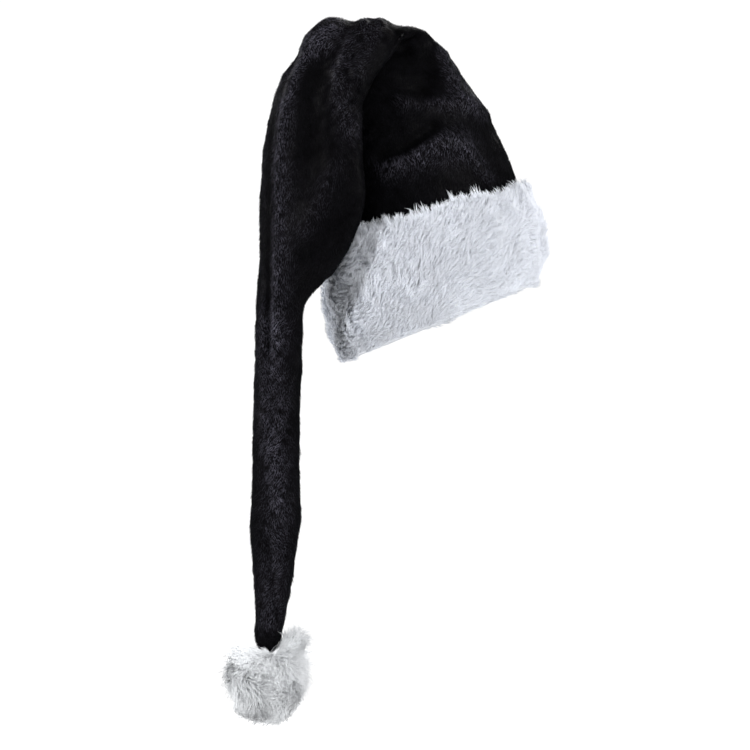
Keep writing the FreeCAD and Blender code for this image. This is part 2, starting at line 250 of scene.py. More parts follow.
def ring_axes(turn, lift, roll):
    """The long and the outward axis of rings turned about Z, raised at the front and rolled about their
    length: the X and Y axes turned by the product of those three rotations."""
    turn, lift, roll = (np.radians(angle) for angle in (turn, lift, roll))
    along = np.stack([np.cos(lift) * np.cos(turn), -np.cos(lift) * np.sin(turn), np.sin(lift)], axis=-1)
    flat_x, flat_y = -np.sin(roll) * np.sin(lift), np.cos(roll)
    outward = np.stack(
        [
            flat_x * np.cos(turn) + flat_y * np.sin(turn),
            -flat_x * np.sin(turn) + flat_y * np.cos(turn),
            np.sin(roll) * np.cos(lift),
        ],
        axis=-1,
    )
    return along, outward


def ellipses(rows, angles, grow):
    """Rings of points from rows of a ring table: centre + half length x cos x long axis + half depth x sin x
    outward axis, with both halves made larger by a length."""
    along, outward = ring_axes(rows[:, 3], rows[:, 4], rows[:, 5])
    half_length = (rows[:, 6] + grow)[:, None, None]
    half_depth = (rows[:, 7] + grow)[:, None, None]
    return (
        rows[:, None, :3]
        + half_length * np.cos(angles)[None, :, None] * along[:, None]
        + half_depth * np.sin(angles)[None, :, None] * outward[:, None]
    )


def grid_normals(points):
    """Outward normals of a grid of closed rings: the cross product of the step round a ring and the step to
    the next ring."""
    around = np.roll(points, -1, axis=1) - np.roll(points, 1, axis=1)
    along = np.gradient(points, axis=0)
    return unit(np.cross(around, along))


def waves(points, seed, lengths, count=24):
    """A smooth random field, mostly from -2 to 2: the sum of sine waves with random directions and phases,
    whose wavelengths lie between the two lengths, over the root of half their number."""
    rng = np.random.default_rng(seed)
    directions = unit(rng.normal(size=(count, 3)))
    numbers = 2 * np.pi / rng.uniform(*lengths, size=count)
    phases = rng.uniform(0, 2 * np.pi, size=count)
    field = np.sin(points @ (directions * numbers[:, None]).T + phases)
    return field.sum(axis=-1) / math.sqrt(count / 2)


def varied(name, roots, rng):
    """One of the fields at the roots: its mean, with waves and random noise."""
    seed, lengths, mean, height, noise = FIELDS[name]
    return mean + height * waves(roots, seed, lengths) + noise * rng.normal(size=len(roots))


def line_distance(flat, line):
    """The distance of flat points from a run of straight lines: the least of their distances from each."""
    line = np.array(line, dtype=float) * MM
    nearest = np.full(flat.shape[:-1], np.inf)
    for start, end in zip(line[:-1], line[1:]):
        step = end - start
        share = np.clip(((flat - start) @ step) / (step @ step), 0, 1)
        nearest = np.minimum(nearest, np.linalg.norm(flat - start - share[..., None] * step, axis=-1))
    return nearest


def smoothstep(values, low, high):
    share = np.clip((values - low) / (high - low), 0, 1)
    return share * share * (3 - 2 * share)


def bell(points, line, width):
    """A bell curve of the distance from a line, seen along Y: 1 on it and little at twice the width."""
    return np.exp(-0.5 * (line_distance(points[..., (0, 2)], line) / (width * MM)) ** 2)


def seen(normals):
    """1 where the cloth faces -Y or upwards, falling to 0 on its far side."""
    return np.maximum(smoothstep(-normals[..., 1], 0.05, 0.45), smoothstep(normals[..., 2], 0.2, 0.7))


# Painted highlight and painted shade: how much lighter a millimetre of a standing crease or of a highlight
# band makes the pile, and how much darker a millimetre of a hollow makes it.
RIDGE_HIGHLIGHT, HOLLOW_SHADE = 1.9, 0.2


def painted_ridge_light(points, normals):
    """How much lighter or darker the pile is painted: the sum of the heights of the creases and the
    highlight bands at a point, as bell curves, times the painted highlight of raised cloth or the painted
    shade of a hollow."""
    lift = sum(height * bell(points, line, width) for line, height, width in CREASES + PAINTED_HIGHLIGHT_BANDS)
    return np.where(lift > 0, RIDGE_HIGHLIGHT, HOLLOW_SHADE) * lift * seen(normals)


def worn(points, ripple):
    """The cloth as it is worn: each point moves along its normal by gentle waves, and on the side towards -Y
    by the ruffle and the creases, each a bell curve of the distance from its line."""
    normals = grid_normals(points)
    shown = seen(normals)
    move = ripple * (waves(points, 11, (0.030, 0.085)) + 0.5 * waves(points, 12, (0.012, 0.024)))
    line, height, width = RUFFLE
    small = waves(points, 13, (0.007, 0.014))
    move = move + height * MM * bell(points, line, width) * small * shown
    for line, height, width in CREASES:
        move = move + height * MM * bell(points, line, width) * shown
    return points + normals * move[..., None]


# How much the strands of each coat take the light as one surface, from 0 to 1.
PILE_SOFTNESS = 0.68
CUFF_SOFTNESS = 0.22
POMPOM_SOFTNESS = 0.6


# ---------------------------------------------------------------- meshes
def ring_faces(rings, around, first=0, inward=False):
    """Quads between neighbouring closed rings of a grid, outwards or inwards."""
    row, column = np.meshgrid(np.arange(rings - 1), np.arange(around), indexing="ij")
    following = (column + 1) % around
    corners = (row, column), (row, following), (row + 1, following), (row + 1, column)
    quads = np.stack([line * around + place for line, place in corners], axis=-1).reshape(-1, 4)
    return (quads[:, ::-1] if inward else quads) + first


def fan_faces(ring, centre, flip=False):
    """Triangles from each edge of a closed ring of points to a centre point."""
    following = np.roll(ring, -1)
    order = (following, ring) if flip else (ring, following)
    return np.stack([*order, np.full(len(ring), centre)], axis=-1)


def make_mesh(name, points, faces, materials, kinds=None, normals=None, **fields):
    """A mesh object in the row frame from arrays: points, a list of arrays of faces with equal corners each,
    the material of each array, point normals where they are known, and named numbers at each point."""
    mesh = bpy.data.meshes.new(name)
    corners = np.concatenate([block.ravel() for block in faces])
    totals = np.concatenate([np.full(len(block), block.shape[1]) for block in faces])
    mesh.vertices.add(len(points))
    mesh.vertices.foreach_set("co", points.astype(np.float32).ravel())
    mesh.loops.add(len(corners))
    mesh.loops.foreach_set("vertex_index", corners.astype(np.int32))
    mesh.polygons.add(len(totals))
    starts = np.concatenate([[0], np.cumsum(totals)[:-1]])
    mesh.polygons.foreach_set("loop_start", starts.astype(np.int32))
    kinds = [0] * len(faces) if kinds is None else kinds
    slots = np.concatenate([np.full(len(block), kind) for block, kind in zip(faces, kinds)])
    mesh.polygons.foreach_set("material_index", slots.astype(np.int32))
    for field, numbers in fields.items():
        mesh.attributes.new(field, "FLOAT", "POINT").data.foreach_set("value", numbers.astype(np.float32))
    mesh.update(calc_edges=True)
    mesh.shade_smooth()
    if normals is not None:
        mesh.normals_split_custom_set_from_vertices(normals)
    for material in materials:
        mesh.materials.append(material)
    made = bpy.data.objects.new(name, mesh)
    bpy.context.scene.collection.objects.link(made)
    return made


def strand_mesh(name, spines, widths, material, tone, up, softness, sides=3):
    """Tapering strands. A spine is a run of points; at each but the last stands a small ring of the given
    width across the spine, and the strand ends in a point. Tone is a number for each strand, from dark to
    light, and reach is 0 at the root and 1 at the tip. A strand's normals are its own, mixed by the softness
    with the way up from the surface that it grows on, so that a thick coat takes the light as one soft
    surface."""
    count, steps = spines.shape[:2]
    rings = steps - 1
    course = unit(np.diff(spines, axis=1))
    helper = np.where(np.abs(course[:, :1, 2:]) < 0.9, [[[0.0, 0.0, 1.0]]], [[[1.0, 0.0, 0.0]]])
    across = unit(np.cross(course, helper))
    upright = np.cross(course, across)
    turns = 2 * np.pi * np.arange(sides) / sides
    circle = across[:, :, None] * np.cos(turns)[None, None, :, None]
    circle = circle + upright[:, :, None] * np.sin(turns)[None, None, :, None]
    bodies = spines[:, :rings, None] + circle * (widths[:, :rings, None, None] / 2)
    points = np.concatenate([bodies.reshape(count, rings * sides, 3), spines[:, -1:]], axis=1)
    per_strand = rings * sides + 1
    first = np.arange(count)[:, None, None] * per_strand
    tube_part = ring_faces(rings, sides)[None] + first
    last_ring = (rings - 1) * sides + np.arange(sides)
    cone_part = fan_faces(last_ring, rings * sides)[None] + first
    reach = np.concatenate([np.repeat(np.arange(rings) / rings, sides), [1.0]])
    own = np.concatenate([circle.reshape(count, rings * sides, 3), up[:, None]], axis=1)
    normals = unit(softness * up[:, None] + (1 - softness) * own).reshape(-1, 3)
    faces = [cone_part.reshape(-1, 3)]
    if rings > 1:
        faces.insert(0, tube_part.reshape(-1, 4))
    return make_mesh(
        name,
        points.reshape(-1, 3),
        faces,
        [material],
        normals=normals,
        tone=np.repeat(tone, per_strand),
        reach=np.tile(reach, count),
    )


def scatter(points, field, count, seed):
    """Random places on a grid of closed rings, as many to a square millimetre everywhere: a quad is drawn by
    its area, and the place in it by two random shares of its sides. Gives the places, the field there, such
    as the normals, the way to the next ring, and the random numbers that follow."""
    rng = np.random.default_rng(seed)
    right = np.roll(points, -1, axis=1)[:-1]
    left, above = points[:-1], points[1:]
    area = np.linalg.norm(np.cross(right - left, above - left), axis=-1).ravel()
    edges = np.cumsum(area)
    picks = np.searchsorted(edges, (np.arange(count) + rng.random(count)) / count * edges[-1])
    row, column = np.divmod(np.minimum(picks, len(edges) - 1), points.shape[1])
    following = (column + 1) % points.shape[1]
    u, v = rng.random((2, count, 1))

    def mixed(values):
        low = values[row, column] * (1 - u) + values[row, following] * u
        high = values[row + 1, column] * (1 - u) + values[row + 1, following] * u
        return low * (1 - v) + high * v

    course = unit(points[row + 1, column] - points[row, column])
    return mixed(points), mixed(field), course, rng


# ---------------------------------------------------------------- node groups
def new_group(name, inputs, outputs):
    """An empty shader node group with the named sockets: (name, kind, default) in, (name, kind) out."""
    group = bpy.data.node_groups.new(name, "ShaderNodeTree")
    for socket, kind, default in inputs:
        made = group.interface.new_socket(name=socket, in_out="INPUT", socket_type=f"NodeSocket{kind}")
        made.default_value = default
    for socket, kind in outputs:
        group.interface.new_socket(name=socket, in_out="OUTPUT", socket_type=f"NodeSocket{kind}")
    return group, group.nodes.new("NodeGroupInput"), group.nodes.new("NodeGroupOutput")


def add_node(tree, kind, inputs=(), **settings):
    """A node with some of its settings. Each of the inputs is set to a value, or linked where it is given
    another node's socket."""
    made = tree.nodes.new(f"ShaderNode{kind}")
    for key, value in settings.items():
        setattr(made, key, value)
    for label, value in dict(inputs).items():
        if isinstance(value, bpy.types.NodeSocket):
            tree.links.new(value, made.inputs[label])
        else:
            made.inputs[label].default_value = value
    return made


def add_math(tree, operation, *inputs):
    return add_node(tree, "Math", enumerate(inputs), operation=operation).outputs[0]


def add_place(tree):
    return add_node(tree, "TexCoord").outputs["Object"]


def add_product(tree, color, factor):
    """A colour times a factor."""
    inputs = {"Factor": 1.0, "A": color, "B": factor}
    return add_node(tree, "Mix", inputs, data_type="RGBA", blend_type="MULTIPLY").outputs["Result"]


def give(group, result, **sockets):
    """Links sockets to the group's outputs."""
    for label, socket in sockets.items():
        group.links.new(socket, result.inputs[label])
    return group


def fur_tint_group():
    """Fur tint: the colour is darkened towards the root as painted shade, and differs from lock to lock and
    place to place.
    """
    group, given, result = new_group(
        "fur_tint",
        [
            ("Color", "Color", (1, 1, 1, 1)),
            ("Root Shade", "Float", 0.6),
            ("Variation", "Float", 0.15),
            ("Patch Scale", "Float", 30.0),
        ],
        [("Color", "Color")],
    )
    given = given.outputs
    reach, tone = (
        add_node(group, "Attribute", attribute_name=name).outputs["Fac"] for name in ("reach", "tone")
    )
    places = {"Vector": add_place(group), "Scale": given["Patch Scale"], "Detail": 3.0}
    patches = add_node(group, "TexNoise", places).outputs["Fac"]
    # Painted shade: the colour falls to Root Shade towards the root.
    climb = {"Value": reach, "From Max": 0.7, "To Min": given["Root Shade"], "To Max": 1.0}
    rise = add_node(group, "MapRange", climb, interpolation_type="SMOOTHSTEP").outputs["Result"]
    centred = add_math(group, "SUBTRACT", add_math(group, "ADD", tone, patches), 1.0)
    shade = add_math(group, "MULTIPLY_ADD", centred, given["Variation"], rise)
    return give(group, result, Color=add_product(group, given["Color"], shade))


def pile_group():
    """Pile: fine stretched noise for the lie of the pile, and broad noise for lighter and darker patches, as
    a colour, a height and a roughness."""
    group, given, result = new_group(
        "plush_pile",
        [
            ("Dark", "Color", (0, 0, 0, 1)),
            ("Light", "Color", (0.05, 0.05, 0.05, 1)),
            ("Fineness", "Float", 700.0),
            ("Patches", "Float", 28.0),
        ],
        [("Color", "Color"), ("Height", "Float"), ("Roughness", "Float")],
    )
    given = given.outputs
    place = add_place(group)
    stretched = add_node(group, "Mapping", {"Vector": place, "Scale": (1.0, 1.0, 0.42)}).outputs["Vector"]
    lie = {"Vector": stretched, "Scale": given["Fineness"], "Detail": 4.0, "Roughness": 0.65}
    fine = add_node(group, "TexNoise", lie).outputs["Fac"]
    patches = {"Vector": place, "Scale": given["Patches"], "Detail": 5.0, "Roughness": 0.6}
    broad = add_node(group, "TexNoise", patches).outputs["Fac"]
    mixed = {"Value": add_math(group, "MULTIPLY", fine, broad), "From Min": 0.15, "From Max": 0.42}
    share = add_node(group, "MapRange", mixed).outputs["Result"]
    shades = {"Factor": share, "A": given["Dark"], "B": given["Light"]}
    tint = add_node(group, "Mix", shades, data_type="RGBA").outputs["Result"]
    rough = add_node(group, "MapRange", {"Value": broad, "To Min": 0.72, "To Max": 0.95}).outputs["Result"]
    return give(group, result, Color=tint, Height=fine, Roughness=rough)


def knit_group():
    """Knit: two crossed waves make the loops of a fine knit, as a colour and a height."""
    group, given, result = new_group(
        "fine_knit",
        [("Color", "Color", (0.5, 0.5, 0.5, 1)), ("Loops", "Float", 420.0), ("Contrast", "Float", 0.35)],
        [("Color", "Color"), ("Height", "Float")],
    )
    given = given.outputs
    inputs = {"Vector": add_place(group), "Scale": given["Loops"], "Distortion": 1.2, "Detail": 1.0}
    crossed = [add_node(group, "TexWave", inputs, bands_direction=way).outputs["Fac"] for way in ("X", "Z")]
    loops = add_math(group, "MULTIPLY", *crossed)
    shade = add_math(group, "MULTIPLY_ADD", loops, given["Contrast"], 0.8)
    return give(group, result, Color=add_product(group, given["Color"], shade), Height=loops)


# ---------------------------------------------------------------- materials
def new_material(name, **shader):
    """A material with its Principled shader, whose named sockets are set to uniform values. Its name starts
    with finish_, so that it is never one of the part's own plain materials."""
    label = f"finish_{name}"
    material = bpy.data.materials.get(label)
    if material is not None:
        return material, None, None
    material = bpy.data.materials.new(label)
    material.use_nodes = True
    tree = material.node_tree
    principled = next(item for item in tree.nodes if item.type == "BSDF_PRINCIPLED")
    for socket, value in shader.items():
        principled.inputs[socket.replace("_", " ")].default_value = value
    return material, tree, principled


def grouped_material(name, group, build, values, bump=None, **shader):
    """A material whose colour, and roughness where it gives one, come from a node group, with a bump of a
    strength and a distance from the group's height."""
    material, tree, principled = new_material(name, **shader)
    if tree:
        made = add_node(tree, "Group", values, node_tree=bpy.data.node_groups.get(group) or build())
        tree.links.new(made.outputs["Color"], principled.inputs["Base Color"])
        if "Roughness" in made.outputs:
            tree.links.new(made.outputs["Roughness"], principled.inputs["Roughness"])
        if bump:
            strength, distance = bump
            inputs = {"Strength": strength, "Distance": distance, "Height": made.outputs["Height"]}
            tree.links.new(add_node(tree, "Bump", inputs).outputs["Normal"], principled.inputs["Normal"])
    return material


def plush_material():
    color = tuple(bpy.context.scene.plush_cloth.color)
    light = tuple(min(1.0, 3.0 * part) for part in color)
    colors = {"Dark": (*color, 1), "Light": (*light, 1)}
    return grouped_material(
        "black_plush", "plush_pile", pile_group, colors, bump=(0.8, 1.2 * MM), Specular_IOR_Level=0.03
    )


def pile_material():
    """The tufts' finish: the plush's colour, with painted shade towards the roots and lighter towards the
    tips.
    """
    bright = tuple(2.2 * part for part in bpy.context.scene.plush_cloth.color)
    values = {"Color": (*bright, 1), "Root Shade": 0.35, "Variation": 1.1, "Patch Scale": 120.0}
    return grouped_material(
        "black_pile", "fur_tint", fur_tint_group, values, Roughness=0.42, Specular_IOR_Level=0.06
    )


def fur_material(name, color, root_shade):
    values = {"Color": (*color, 1), "Root Shade": root_shade, "Variation": 0.10}
    looks = {"Roughness": 0.6, "Sheen_Weight": 0.2, "Sheen_Roughness": 0.5, "Specular_IOR_Level": 0.25}
    return grouped_material(name, "fur_tint", fur_tint_group, values, **looks)


def knit_material(name, color, loops, bump=0.5):
    values = {"Color": (*color, 1), "Loops": loops}
    looks = {"Roughness": 0.9, "Sheen_Weight": 0.2, "Specular_IOR_Level": 0.2}
    return grouped_material(name, "fine_knit", knit_group, values, bump=(bump, 0.4 * MM), **looks)


def dress(node_name, material):
    """Gives a carried-over CAD node its finish."""
    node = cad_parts[node_name]
    node.data.materials.clear()
    node.data.materials.append(material)


# ---------------------------------------------------------------- the cloth pieces
def length_rings(name, step):
    """The distances of a length's rings, evenly spaced from its first station to its last."""
    knots = station_knots()
    first, last = (knots[STATION_NAMES.index(station)] for station in LENGTHS[name][:2])
    return np.linspace(first, last, max(8, round((last - first) / step)) + 1)


def cloth_rings(settings):
    """The rings of the whole worn tube, its normals, and each length's slice of them."""
    runs = [length_rings(name, settings.ring_step) for name in LENGTHS]
    at = np.concatenate([runs[0]] + [run[1:] for run in runs[1:]])
    angles = 2 * np.pi * np.arange(settings.around) / settings.around
    rings = cubic(station_knots(), ring_table(STATIONS), at)
    points = worn(ellipses(rings, angles, -settings.pile_depth), settings.ripple)
    ends = np.cumsum([len(runs[0])] + [len(run) - 1 for run in runs[1:]])
    starts = np.concatenate([[0], ends[:-1] - 1])
    slices = {name: slice(start, end) for name, start, end in zip(LENGTHS, starts, ends)}
    return points, grid_normals(points), slices


def flat_cut(name):
    """The cut of a length's cloth: its widest round, its length, and its area, which is the mean of its
    rounds times its length. The round of a ring is 2 pi x the root of the mean square of its halves."""
    at = length_rings(name, 10 * MM)
    halves = cubic(station_knots(), ring_table(STATIONS)[:, 6:], at)
    rounds = 2 * np.pi * np.sqrt((halves**2).mean(axis=1))
    length = at[-1] - at[0]
    return (float(rounds.max()), float(length)), float(rounds.mean() * length)


def follow(piece, name):
    """Rides a length on its body; a length that lies between two bodies only has its place baked into its
    points.
    """
    bodies, stretch = LENGTHS[name][2:]
    if stretch is None:
        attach(piece, bodies[0])
    else:
        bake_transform(piece)


def cloth_shell(name, outside, normals, wall, closed):
    """A length of the tube as a wall of cloth: its outer rings, its inner rings moved in by the wall along
    the normals, and a hem that joins the two at each end. The tail's tip is closed by a pole, inside and
    out."""
    rings, around = outside.shape[:2]
    count = rings * around
    ring = np.arange(around)
    following = np.roll(ring, -1)
    last = ring + count - around
    last_following = following + count - around
    inside = outside - normals * wall
    points = [outside.reshape(-1, 3), inside.reshape(-1, 3)]
    facing = [normals.reshape(-1, 3), -normals.reshape(-1, 3)]
    faces = [
        ring_faces(rings, around),
        ring_faces(rings, around, first=count, inward=True),
        np.stack([ring, ring + count, following + count, following], axis=-1),
    ]
    kinds = [0, 1, 1]
    if closed:
        poles = np.stack([outside[-1].mean(axis=0), inside[-1].mean(axis=0)])
        onward = unit(poles[:1] - outside[-3].mean(axis=0))
        points.append(poles)
        facing.append(np.concatenate([onward, -onward]))
        faces += [fan_faces(last, 2 * count), fan_faces(last + count, 2 * count + 1, flip=True)]
        kinds += [0, 1]
    else:
        faces.append(np.stack([last, last_following, last_following + count, last + count], axis=-1))
        kinds.append(1)
    points, facing = np.concatenate(points), np.concatenate(facing)
    return make_mesh(
        f"{name}_cloth", points, faces, [plush_material(), backing_material()], kinds, facing
    )


def backing_material():
    return knit_material("plush_backing", (0.022, 0.022, 0.026), 520.0)


# The short pile, in metres: the width of a tuft at its root, and how far its root stands in the cloth.
TUFT_WIDTH, TUFT_ROOT = 0.6 * MM, 0.25 * MM


def lay_pile(name, points, normals, count, length, seed):
    """Short pile on a length: each tuft is a small spike that leaves along the normal and the nap, which
    runs towards the tail's tip and wanders with the waves."""
    roots, up, course, rng = scatter(points, normals, count, seed)
    up = unit(up)
    side = np.cross(up, course)
    sway = varied("nap_sway", roots, rng)[:, None]
    stand = varied("nap_stand", roots, rng)[:, None]
    way = unit(course + 0.6 * sway * side + np.maximum(stand, 0.05) * up)
    reach = (length * rng.uniform(0.6, 1.15, size=count))[:, None]
    spines = np.stack([roots - TUFT_ROOT * up, roots + way * reach], axis=1)
    widths = np.full((count, 1), TUFT_WIDTH)
    speckle = varied("speckle", roots, rng)
    # The tone is random speckle, plus painted highlight on standing creases and highlight bands and painted
    # shade in hollows.
    tone = 0.5 + 0.26 * speckle + painted_ridge_light(roots, up) * np.maximum(1 + 0.36 * speckle, 0)
    return strand_mesh(f"{name}_pile", spines, widths, pile_material(), tone, up, PILE_SOFTNESS)


class HAT_OT_cloth(bpy.types.Operator):
    """Makes the plush tube: the crown, the fold, the pouch and the tail, each with its short pile"""

    bl_idname = "hat.cloth"
    bl_label = "Plush cloth"

    def execute(self, context):
        settings = context.scene.plush_cloth
        points, normals, slices = cloth_rings(settings)
        areas = {name: surface_area(points[part]) for name, part in slices.items()}
        total = sum(areas.values())
        for number, (name, part) in enumerate(slices.items()):
            outside, facing = points[part], normals[part]
            cloth = cloth_shell(name, outside, facing, settings.wall, closed=name == "tail_end")
            tufts = round(settings.pile_tufts * areas[name] / total)
            pile = lay_pile(name, outside, facing, tufts, settings.pile_length, 40 + number)
            for piece in (cloth, pile):
                follow(piece, name)
            if name in REPLACED:
                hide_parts(*REPLACED[name])
            flat, area = flat_cut(name)
        return {"FINISHED"}


def surface_area(points):
    """The area of a grid of closed rings: the sum of its quads, each a cross product of two of its sides."""
    right, above = np.roll(points, -1, axis=1)[:-1] - points[:-1], points[1:] - points[:-1]
    return float(np.linalg.norm(np.cross(right, above), axis=-1).sum())


# ---------------------------------------------------------------- the cuff
# Rings of the cuff from its rim to its top edge, in millimetres and degrees, as the tube's stations: the
# inside of the facing.
CUFF = {
    "rim": (-1.8, 0.0, -4.0, 0.0, 21.9, 0.0, 97.6, 78.2),
    "low": (-2.6, 0.0, 22.5, 0.0, 20.2, 0.0, 98.0, 78.0),
    "middle": (-4.9, 0.0, 51.0, 0.0, 18.6, 0.0, 97.3, 77.8),
    "high": (-8.4, 0.0, 80.0, 0.0, 17.0, 0.0, 96.4, 77.6),
    "edge": (-11.5, 0.0, 106.0, 0.0, 15.3, 0.0, 95.6, 77.4),
}
# The cuff's section from the middle of its facing down round the rim, up its outside and over its top edge
# back again: heights as shares of the cuff's, and depths out from the facing's inside in millimetres.
CUFF_SECTION = (
    (0.50, 0.0), (0.28, 0.0), (0.08, 0.2), (0.0, 1.6), (-0.012, 4.0), (0.01, 6.8), (0.10, 10.0),
    (0.24, 12.4), (0.42, 13.8), (0.60, 13.8), (0.76, 12.2), (0.89, 9.4), (0.965, 6.4), (0.985, 3.6),
    (0.96, 1.6), (0.88, 0.4), (0.72, 0.0),
)
# Dents of the cuff on the side towards -Y, as the cloth's creases.
CUFF_DENTS = (
    (((-88, 34), (-95, 14), (-103, -4)), -2.6, 6.0),
    (((-62, 60), (-56, 20), (-64, -14)), 1.6, 12.0),
    (((20, 96), (26, 60), (18, 26)), 1.6, 16.0),
    (((66, 112), (74, 74), (68, 44)), -1.4, 12.0),
)
# The cuff's height in metres, its points round and along its section, and how many pieces its fur is in.
CUFF_HEIGHT = 0.11
CUFF_AROUND, CUFF_STEPS = 264, 104
CUFF_SECTORS = 6
# The section's depth above which the band is covered in fur, and below which it is facing, in metres.
FUR_DEPTH, FACING_DEPTH = 2.6 * MM, 1.2 * MM
# The nap of the cuff's fur. It turns from level towards upright by an angle in radians, less at the back and
# more at the top edge, and wanders by waves: seed, wavelengths in metres and height.
UPRIGHT = np.array([-0.12, 0.0, 1.0])
CUFF_TURN, BACK_TURN, TOP_TURN = 0.78, 0.45, 2.0
CUFF_WANDER = ((52, (0.028, 0.070), 0.20), (56, (0.007, 0.014), 0.07))
# How much less the locks rise and how much shorter they are at the rim, and how much more they rise at the
# top.
RIM_RISE, RIM_SHORTER, TOP_RISE = 0.25, 0.35, 0.35
# Where the back of the cuff begins and is reached, as distances behind the middle in metres, and the same
# for its top edge and its rim, as shares of its height.
CUFF_BACK, TOP_BAND, RIM_BAND = (55 * MM, 100 * MM), (0.86, 0.97), (-0.14, -0.02)


def cuff_surface(angles, height, depth):
    """Points of the cuff: at each angle round it, at a height from 0 at the rim to 1 at the top edge and a
    depth out from the facing's inside, in metres."""
    table = ring_table(CUFF)
    return ellipses(cubic(np.linspace(0, 1, len(table)), table, height), angles, depth)


def cuff_section(steps):
    """Heights and depths of points spaced evenly along the closed section, a smooth run by its corners."""
    corners = np.array(CUFF_SECTION)
    wrapped = np.concatenate([corners[-3:], corners, corners[:3]])
    places = np.linspace(0, len(corners), 40 * len(corners) + 1)
    fine = cubic(np.arange(-3.0, len(corners) + 3.0), wrapped, places)
    height, depth = fine[:, 0], fine[:, 1] * MM
    run = np.concatenate([[0], np.cumsum(np.hypot(np.diff(height) * CUFF_HEIGHT, np.diff(depth)))])
    places = np.arange(steps) / steps * run[-1]
    return np.interp(places, run, height), np.interp(places, run, depth)


class HAT_OT_cuff(bpy.types.Operator):
    """Makes the cuff's padded band, with its knitted facing inside, and its fur"""

    bl_idname = "hat.cuff"
    bl_label = "Fur cuff"

    def execute(self, context):
        settings = context.scene.plush_fur
        fur = fur_material("cuff_fur", tuple(settings.cuff_color), 0.82)
        facing = knit_material("cuff_facing", (0.62, 0.63, 0.66), 480.0)
        angles = 2 * np.pi * np.arange(CUFF_AROUND) / CUFF_AROUND
        height, depth = cuff_section(CUFF_STEPS)
        rings = cuff_surface(angles, height, depth)
        rings = self.worn_band(np.concatenate([rings, rings[:1]]), depth)[:-1]
        steps, around = rings.shape[:2]
        quads = ring_faces(steps + 1, around) % (steps * around)
        inner = np.repeat((depth + np.roll(depth, -1)) / 2 < FACING_DEPTH, around)
        faces = [quads[~inner], quads[inner]]
        band = make_mesh("cuff_band", rings.reshape(-1, 3), faces, [fur, facing], [0, 1])
        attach(band, "crown")
        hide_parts("cuff_fur_band", "cuff_facing")
        self.add_fur(rings, height, depth, settings, fur)
        return {"FINISHED"}

    def worn_band(self, loop, depth):
        """The band as worn: its outside moves along its normals by soft waves and by the dents."""
        normals = grid_normals(loop)
        outside = smoothstep(np.append(depth, depth[:1]), 2 * MM, 7 * MM)[:, None]
        shown = smoothstep(-normals[..., 1], 0.0, 0.4)
        move = 1.3 * MM * waves(loop, 31, (0.022, 0.060))
        for line, height, width in CUFF_DENTS:
            move = move + height * MM * bell(loop, line, width) * shown
        return loop + normals * (move * outside)[..., None]

    def add_fur(self, rings, height, depth, settings, fur):
        """Fur on the cuff's outside. Each lock rises from the band and lays itself along the nap, which runs
        up and round towards the forehead and wanders with slow waves. At the top edge the locks stand up in
        points over the cloth, and at the rim they lie flat."""
        outer = np.flatnonzero(depth > FUR_DEPTH)
        surface, normals = rings[outer], grid_normals(np.concatenate([rings, rings[:1]]))[:-1][outer]
        share = np.broadcast_to(height[outer][:, None, None], (*surface.shape[:2], 1))
        fields = np.concatenate([normals, share], axis=-1)
        roots, mixed, _, rng = scatter(surface, fields, settings.cuff_locks, 51)
        up, share = unit(mixed[:, :3]), mixed[:, 3]
        count = len(roots)
        lift = unit(UPRIGHT - up * (up @ UPRIGHT)[:, None])
        forward = np.cross(lift, up)
        top, rim = smoothstep(share, *TOP_BAND), smoothstep(-share, *RIM_BAND)
        turn = CUFF_TURN - BACK_TURN * smoothstep(-roots[:, 0], *CUFF_BACK)
        for seed, lengths, amount in CUFF_WANDER:
            turn = turn + amount * waves(roots, seed, lengths)
        turn = (turn + 0.09 * rng.normal(size=count)) * (1 - top)
        turn = turn + top * (TOP_TURN + 0.25 * rng.normal(size=count))
        nap = np.cos(turn)[:, None] * forward + np.sin(turn)[:, None] * lift
        rise = varied("cuff_rise", roots, rng)
        rise = np.clip(rise - RIM_RISE * rim + TOP_RISE * top, 0.12, 1.25)
        points = 0.62 + 0.24 * waves(roots, 58, (0.007, 0.014))
        length = settings.cuff_length * rng.uniform(0.72, 1.10, size=count) * (1 - RIM_SHORTER * rim)
        length = length * (1 - top + top * points)
        gather = tuft_pull(roots, 5.0 * MM, 55)
        spines = lay_locks(roots, up, nap, rise, length, gather, rng)
        widths = taper(count, spines.shape[1], settings.lock_width)
        tone = varied("cuff_tone", roots, rng)
        around = np.arctan2(roots[:, 1], roots[:, 0]) / (2 * np.pi) % 1.0
        sector = np.floor(around * CUFF_SECTORS).astype(int)
        for number in range(CUFF_SECTORS):
            part = sector == number
            name = f"cuff_fur_{number + 1}"
            piece = strand_mesh(name, spines[part], widths[part], fur, tone[part], up[part], CUFF_SOFTNESS)
            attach(piece, "crown")


# The numbers of the hash that places a tuft in its cell.
HASH_ROWS = np.array([[127.1, 311.7, 74.7], [269.5, 183.3, 246.1], [113.5, 271.9, 124.6]])
HASH_SCALE = 43758.5453


def tuft_pull(roots, cell, seed):
    """The way from each root to the middle of its tuft: space is cut into cells, and each cell's tuft stands
    at a place in it that a hash of the cell's numbers gives."""
    cells = np.floor(roots / cell)
    mixed = np.sin(cells @ HASH_ROWS.T + seed)
    shares = (mixed * HASH_SCALE) % 1.0
    return (cells + shares) * cell - roots


# A lock's angle is LOCK_RISE of its rise at its root, and less by LOCK_FALL of it at its tip. The lock
# closes in on its tuft by a share, with a power of how far along it is, and curls by a share of its length.
# Its root stands a little inside the surface, and its width falls by a share, with the same power, towards
# its tip.
LOCK_RISE, LOCK_FALL = 1.25, 1.05
LOCK_CLOSING, LOCK_POWER, LOCK_CURL = 0.75, 1.6, 0.045
LOCK_ROOT = 0.4 * MM
LOCK_TAPER = 0.65


